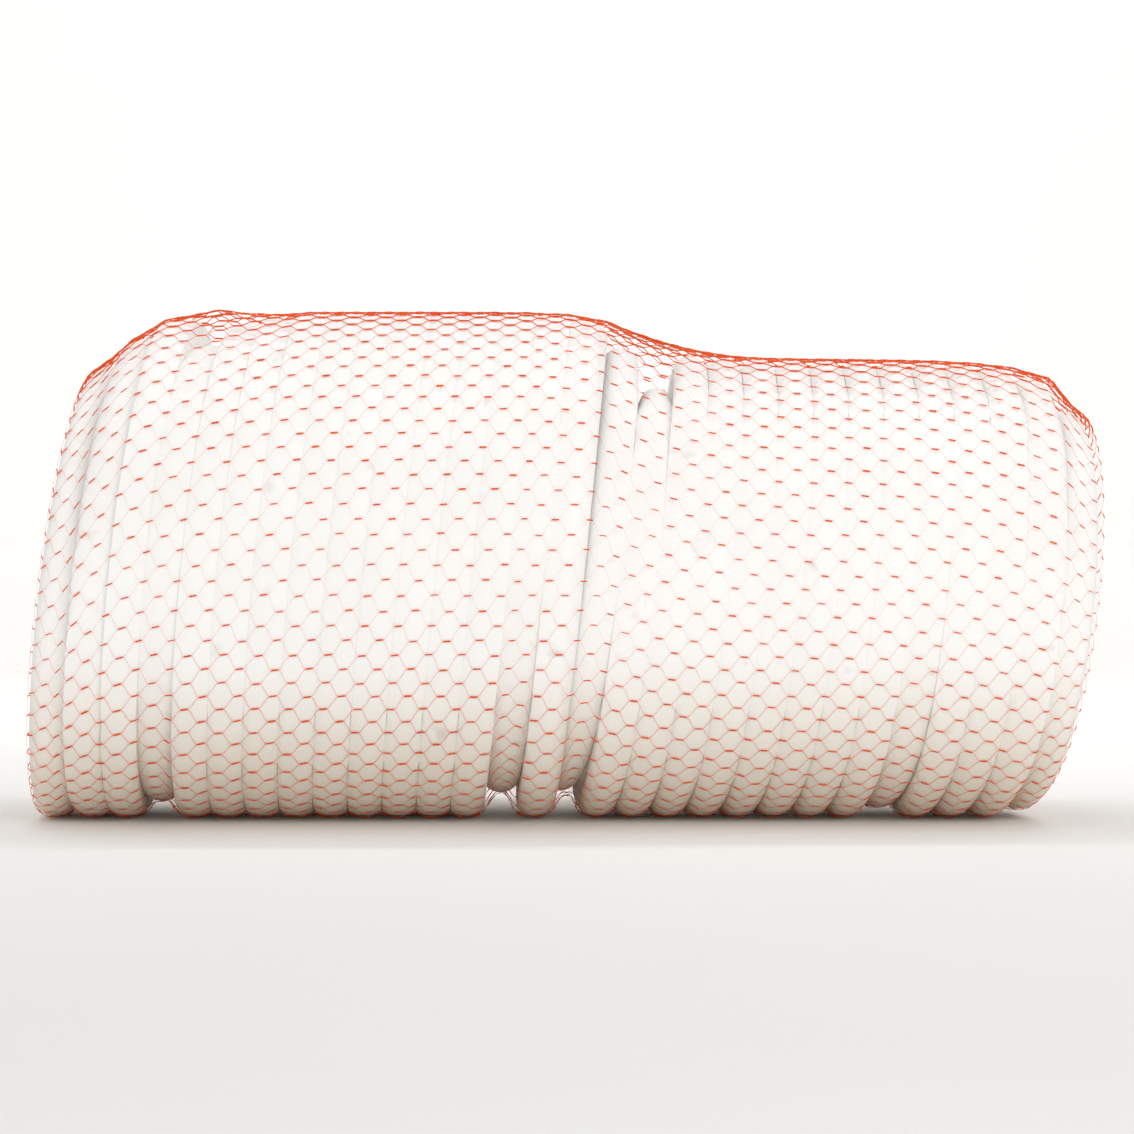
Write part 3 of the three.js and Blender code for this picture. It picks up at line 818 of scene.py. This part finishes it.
def strand_bars(surface, layout, first, last, up):
    """The strands that leave some columns on one side: each bends as a smooth step from inside the
    end of its joint to inside the start of the neighbour in the next column, and flares at both."""
    rows, next_rows = slice(first, last), slice(first + 1, last + 1)
    odd = layout.number[rows] % 2
    mate = (np.arange(CELLS_ROUND)[None] + np.where(odd == 1, up, up - 1)) % CELLS_ROUND
    start_angle = layout.angle[rows] + layout.turn[rows]
    end_angle = (layout.angle - layout.turn)[next_rows]
    gap = signed(np.take_along_axis(end_angle, mate, 1) - start_angle)
    inset = JOINT_LENGTH / 2 * STRAND_START_SHARE
    start = layout.place[rows] + inset
    end = np.take_along_axis(layout.place[next_rows], mate, 1) - inset
    t = np.linspace(0, 1, len(STRAND_WIDTH_SHARES))
    path = (start[..., None] + (end - start)[..., None] * t).reshape(-1, len(t))
    way = (start_angle[..., None] + gap[..., None] * smooth_step(t, 0, 1)).reshape(-1, len(t))
    points, normal = surface.find(path, way)
    wide = layout.strand_wide[rows].reshape(-1, 1) * STRAND_WIDTH_SHARES
    high = layout.strand_high[rows].reshape(-1, 1) * np.ones_like(wide)
    return tubes(points, normal, wide, high, STRAND_SIDES)


def make_net(surface, material):
    """The net in pieces from left to right, each with its share of the columns of joints and the
    strands that leave them towards the right."""
    layout = NetLayout(surface)
    for part, part_name in enumerate(NET_PARTS):
        first = round(part * layout.count / len(NET_PARTS))
        last = round((part + 1) * layout.count / len(NET_PARTS))
        groups = [joint_bars(surface, layout, first, last)]
        for up in (0, 1):
            groups.append(strand_bars(surface, layout, first, min(last, layout.count - 1), up))
        piece = new_piece("net_" + part_name, *joined(groups), material)
        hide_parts("net_sleeve")


# The cable ties


def block_along(path, normal, half_wide, half_high):
    """A rounded flat strip along a path: a section of eight corners, long side across the path."""
    along = unit(np.gradient(path, axis=0))
    across = unit(np.cross(normal, along))
    upward = np.cross(along, across)
    corner_wide, corner_high = STRIP_CORNER_SHARES.T
    points = path[:, None] + across[:, None] * (half_wide[:, None] * corner_wide)[..., None]
    points = points + upward[:, None] * (half_high[:, None] * corner_high)[..., None]
    index = np.arange(len(path) * len(corner_wide)).reshape(len(path), -1)
    return points.reshape(-1, 3), ring_faces(index), np.stack([index[0, ::-1], index[-1]])


def tie_band(middle):
    """The band: a strip round a circle, with ribs as a sine wave of its thickness."""
    angle = np.linspace(0, FULL_TURN, TIE_BAND_STEPS + 1)
    normal = np.stack([0 * angle, np.sin(angle), np.cos(angle)], axis=-1)
    ribs = 1 + TIE_BAND_RIB_SHARE * np.sin(angle * TIE_BAND_RIBS)
    return block_along(middle * normal, normal, TIE_WIDTH / 2 + 0 * angle, TIE_THICKNESS / 2 * ribs)


def level_path(places, z):
    """A straight path along Y at a height, and the upward direction at each of its points."""
    path = np.stack([0 * places, places, z + 0 * places], axis=-1)
    return path, np.repeat([[0.0, 0, 1]], len(places), 0)


def tie_head(z):
    """The head: a short block whose two ends are a little smaller than its middle."""
    path, up = level_path(TIE_HEAD_LENGTH / 2 * TIE_HEAD_PLACE_SHARES, z)
    half_wide = (TIE_WIDTH + TIE_THICKNESS) / 2 * TIE_HEAD_SIZE_SHARES
    return block_along(path, up, half_wide, TIE_HEAD_HEIGHT / 2 * TIE_HEAD_SIZE_SHARES)


def tie_tail(z):
    """The tail: a straight strip with ribs as a sine wave, which tapers to its tip."""
    share = np.linspace(0, 1, TIE_TAIL_STEPS + 1)
    path, up = level_path(TIE_TAIL_LENGTH * share, z)
    ribs = 1 + TIE_TAIL_RIB_SHARE * np.sin(share * TIE_TAIL_RIBS * FULL_TURN)
    taper = np.clip((1 - share) / TIE_TAPER_SHARE, TIE_TIP_SHARE, 1)
    return block_along(path, up, TIE_WIDTH / 2 * taper, TIE_THICKNESS / 2 * ribs)


def make_tie(name, node, side, rim_x, material):
    """A cable tie round the neck of the bunch in one end: a band, a head and a tail."""
    centre = ring_point(np.array(rim_x - side * (END_RECESS - OVER_COIL)), 0, np.array(0.0))
    centre = centre + np.array([-side * (NECK_START + NECK_LENGTH / 2), 0, 0])
    middle = NECK_RADIUS + TIE_CLEARANCE + TIE_THICKNESS / 2
    head_z = middle + TIE_HEAD_HEIGHT / 2
    points, faces = joined([tie_band(middle), tie_head(head_z), tie_tail(head_z)])
    piece = new_piece(name, points + centre, faces, material)
    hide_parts(node)


# The materials' nodes


def grain_group():
    """Two noises in object space, a fine one and a broad one, for the surfaces of soft plastics."""
    group = bpy.data.node_groups.new("plastic_grain", "ShaderNodeTree")
    face = group.interface
    for name in GRAIN_DETAIL:
        face.new_socket(name + " Scale", in_out="INPUT", socket_type="NodeSocketFloat")
    for name in GRAIN_DETAIL:
        face.new_socket(name, in_out="OUTPUT", socket_type="NodeSocketFloat")
    nodes, links = group.nodes, group.links
    start, end = nodes.new("NodeGroupInput"), nodes.new("NodeGroupOutput")
    place = nodes.new("ShaderNodeTexCoord")
    for name, detail in GRAIN_DETAIL.items():
        noise = nodes.new("ShaderNodeTexNoise")
        noise.inputs["Detail"].default_value = detail
        links.new(place.outputs["Object"], noise.inputs["Vector"])
        links.new(start.outputs[name + " Scale"], noise.inputs["Scale"])
        links.new(noise.outputs["Fac"], end.inputs[name])
    return group


class Material:
    """A material with its Principled shader, the shared grain and short ways to join nodes."""

    def __init__(self, name, grain, scales, sockets):
        self.material = bpy.data.materials.new(name)
        self.material.use_nodes = True
        tree = self.material.node_tree
        self.nodes, self.links = tree.nodes, tree.links
        self.shader = self.nodes["Principled BSDF"]
        for socket, value in sockets.items():
            self.shader.inputs[socket].default_value = value
        group = self.nodes.new("ShaderNodeGroup")
        group.node_tree = grain
        for noise, scale in zip(GRAIN_DETAIL, scales):
            group.inputs[noise + " Scale"].default_value = scale
        self.fine, self.broad = group.outputs["Fine"], group.outputs["Broad"]

    def ranged(self, source, low, high, to_low, to_high):
        """A value carried from one range to another, and held inside it."""
        node = self.nodes.new("ShaderNodeMapRange")
        for key, value in zip(("From Min", "From Max", "To Min", "To Max"),
                              (low, high, to_low, to_high)):
            node.inputs[key].default_value = value
        self.links.new(source, node.inputs["Value"])
        return node.outputs["Result"]

    def mixed(self, factor, first, second):
        """A mix of two colours; each is a colour or another node's output."""
        node = self.nodes.new("ShaderNodeMix")
        node.data_type = "RGBA"
        self.links.new(factor, node.inputs["Factor"])
        for key, value in (("A", first), ("B", second)):
            socket = [one for one in node.inputs if one.name == key and one.type == "RGBA"][0]
            if isinstance(value, tuple):
                socket.default_value = (*value, 1)
            else:
                self.links.new(value, socket)
        return [one for one in node.outputs if one.type == "RGBA"][0]

    def clouded(self, first, second):
        """Two close colours in broad soft clouds."""
        return self.mixed(self.ranged(self.broad, *NOISE_RANGE, 0, 1), first, second)

    def bump(self, height, strength, distance, under=None):
        """The surface's direction, bent by a height, over another bend where one is given."""
        node = self.nodes.new("ShaderNodeBump")
        node.inputs["Strength"].default_value = strength
        node.inputs["Distance"].default_value = distance
        self.links.new(height, node.inputs["Height"])
        if under is not None:
            self.links.new(under, node.inputs["Normal"])
        return node.outputs["Normal"]

    def finish(self, colour, roughness_range, normal):
        """Joins the colour, the roughness, which follows the fine grain, and the bumps."""
        roughness = self.ranged(self.fine, *NOISE_RANGE, *roughness_range)
        self.links.new(colour, self.shader.inputs["Base Color"])
        self.links.new(roughness, self.shader.inputs["Roughness"])
        self.links.new(normal, self.shader.inputs["Normal"])
        return self.material


def foam_material(grain):
    """White closed foam: faint clouds, a few brown scuffs, painted warm shade near the floor, soft
    dents and a fine cell texture, and a soft inside."""
    own = Material("foam", grain, FOAM_SCALES, FOAM_SOCKETS)
    place = own.nodes.new("ShaderNodeTexCoord")
    apart = own.nodes.new("ShaderNodeSeparateXYZ")
    own.links.new(place.outputs["Object"], apart.inputs["Vector"])
    # Painted shade: the foam's colour turns darker and warmer from a given height down to the floor.
    low = own.ranged(apart.outputs["Z"], FOAM_PAINTED_SHADE_TOP, 0, 0, 1)
    colour = own.mixed(low, own.clouded(FOAM_SHADE, FOAM_WHITE), FOAM_PAINTED_SHADE)
    scuff = own.nodes.new("ShaderNodeTexNoise")
    scuff.inputs["Scale"].default_value = FOAM_SCUFF_SCALE
    scuff.inputs["Detail"].default_value = FOAM_SCUFF_DETAIL
    own.links.new(place.outputs["Object"], scuff.inputs["Vector"])
    scuffed = own.ranged(scuff.outputs["Fac"], *FOAM_SCUFF_RANGE, 0, FOAM_SCUFF_SHARE)
    colour = own.mixed(scuffed, colour, FOAM_SCUFF)
    dented = own.ranged(own.broad, *NOISE_RANGE, 0, 1)
    dents = own.bump(dented, FOAM_DENT_SHARE, FOAM_DENT_DEPTH)
    cells = own.bump(own.fine, FOAM_CELL_SHARE, FOAM_CELL_DEPTH, dents)
    return own.finish(colour, FOAM_ROUGHNESS_RANGE, cells)


def net_material(grain):
    """Orange-red extruded plastic in soft clouds of two shades, with a soft gloss and fine grain."""
    own = Material("net_plastic", grain, NET_SCALES, NET_SOCKETS)
    bumps = own.bump(own.fine, NET_GRAIN_SHARE, NET_GRAIN_DEPTH)
    return own.finish(own.clouded(NET_RED, NET_ORANGE), NET_ROUGHNESS_RANGE, bumps)


def tie_material(grain):
    """Milky nylon with faint flow marks and a fine grain."""
    own = Material("tie_nylon", grain, TIE_SCALES, TIE_SOCKETS)
    bumps = own.bump(own.fine, TIE_GRAIN_SHARE, TIE_GRAIN_DEPTH)
    return own.finish(own.clouded(TIE_SHADE, TIE_WHITE), TIE_ROUGHNESS_RANGE, bumps)


def floor_material(grain):
    """A pale warm matt floor with a trace of unevenness in its colour."""
    own = Material("floor", grain, FLOOR_SCALES, FLOOR_SOCKETS)
    own.links.new(own.clouded(FLOOR_SHADE, FLOOR_WHITE), own.shader.inputs["Base Color"])
    return own.material


# The camera, the stage and the lights


def make_camera():
    """The camera looks level along +Y at about the middle of the pack's height. The lens is the
    sensor's width times the distance over the width of the photo's frame at the coils' axis."""
    data = bpy.data.cameras.new("camera")
    data.sensor_width = SENSOR_WIDTH_IN_MM
    data.lens = data.sensor_width * CAMERA_DISTANCE / (PHOTO_WIDTH_PX * PIXEL_SIZE)
    camera = bpy.data.objects.new("camera", data)
    camera.location = (CAMERA_X, -CAMERA_DISTANCE, CAMERA_Z)
    camera.rotation_euler = (math.radians(90), 0, 0)
    bpy.context.collection.objects.link(camera)
    bpy.context.scene.camera = camera


def make_stage(material):
    """A floor that curves up into a backdrop: a profile of floor, quarter circle and wall, carried
    along X."""
    angle = np.linspace(0, math.pi / 2, STAGE_BEND_STEPS + 1)
    y = np.concatenate([[STAGE_FRONT_Y], STAGE_BACK_Y + STAGE_BEND * np.sin(angle),
                        [STAGE_BACK_Y + STAGE_BEND]])
    z = np.concatenate([[0], STAGE_BEND * (1 - np.cos(angle)), [STAGE_TOP_Z]])
    x = np.repeat([[-STAGE_HALF_WIDTH], [STAGE_HALF_WIDTH]], len(y), 1)
    points = np.stack([x, np.tile(y, (2, 1)), np.tile(z, (2, 1))], -1)
    index = np.arange(2 * len(y)).reshape(2, -1)
    quads = np.stack([index[0, :-1], index[1, :-1], index[1, 1:], index[0, 1:]], axis=-1)
    mesh = bpy.data.meshes.new("floor")
    mesh.from_pydata(points.reshape(-1, 3).tolist(), [], quads.tolist())
    mesh.shade_smooth()
    mesh.materials.append(material)
    floor = bpy.data.objects.new("floor", mesh)
    bpy.context.collection.objects.link(floor)


def add_light(name, place, target, size, power, colour):
    """A rectangular soft light. From looking straight down it is tipped up by the angle whose tangent
    is the target's level distance over its drop, and then turned round to the target."""
    data = bpy.data.lights.new(name, "AREA")
    data.shape = "RECTANGLE"
    data.size, data.size_y = size
    data.energy = power
    data.color = colour
    light = bpy.data.objects.new(name, data)
    light.location = place
    way = np.array(target) - np.array(place)
    flat = math.hypot(way[0], way[1])
    light.rotation_euler = (math.atan2(flat, -way[2]), 0, math.atan2(way[1], way[0]) - math.pi / 2)
    bpy.context.collection.objects.link(light)


def make_lights():
    """A strong soft light high at the front right, a low warm one behind the camera, one from above
    and one on the backdrop, in an evenly bright room."""
    for light in LIGHTS:
        add_light(**light)
    world = bpy.data.worlds.new("studio")
    world.use_nodes = True
    background = world.node_tree.nodes["Background"]
    background.inputs["Color"].default_value = SKY_COLOUR
    background.inputs["Strength"].default_value = SKY_STRENGTH
    bpy.context.scene.world = world


def main():
    """Builds the camera, the coils, the net, the ties, the stage and the lights."""
    make_camera()
    grain = grain_group()
    foam = foam_material(grain)
    make_coil("foam_left_coil", "left_coil", LEFT_COIL, foam)
    make_coil("foam_right_coil", "right_coil", RIGHT_COIL, foam)
    make_net(NetSurface(), net_material(grain))
    nylon = tie_material(grain)
    make_tie("tie_left", "left_tie", -1, LEFT_RIM_X, nylon)
    make_tie("tie_right", "right_tie", 1, RIGHT_RIM_X, nylon)
    make_stage(floor_material(grain))
    make_lights()
    bpy.context.scene.view_settings.view_transform = "Standard"


main()
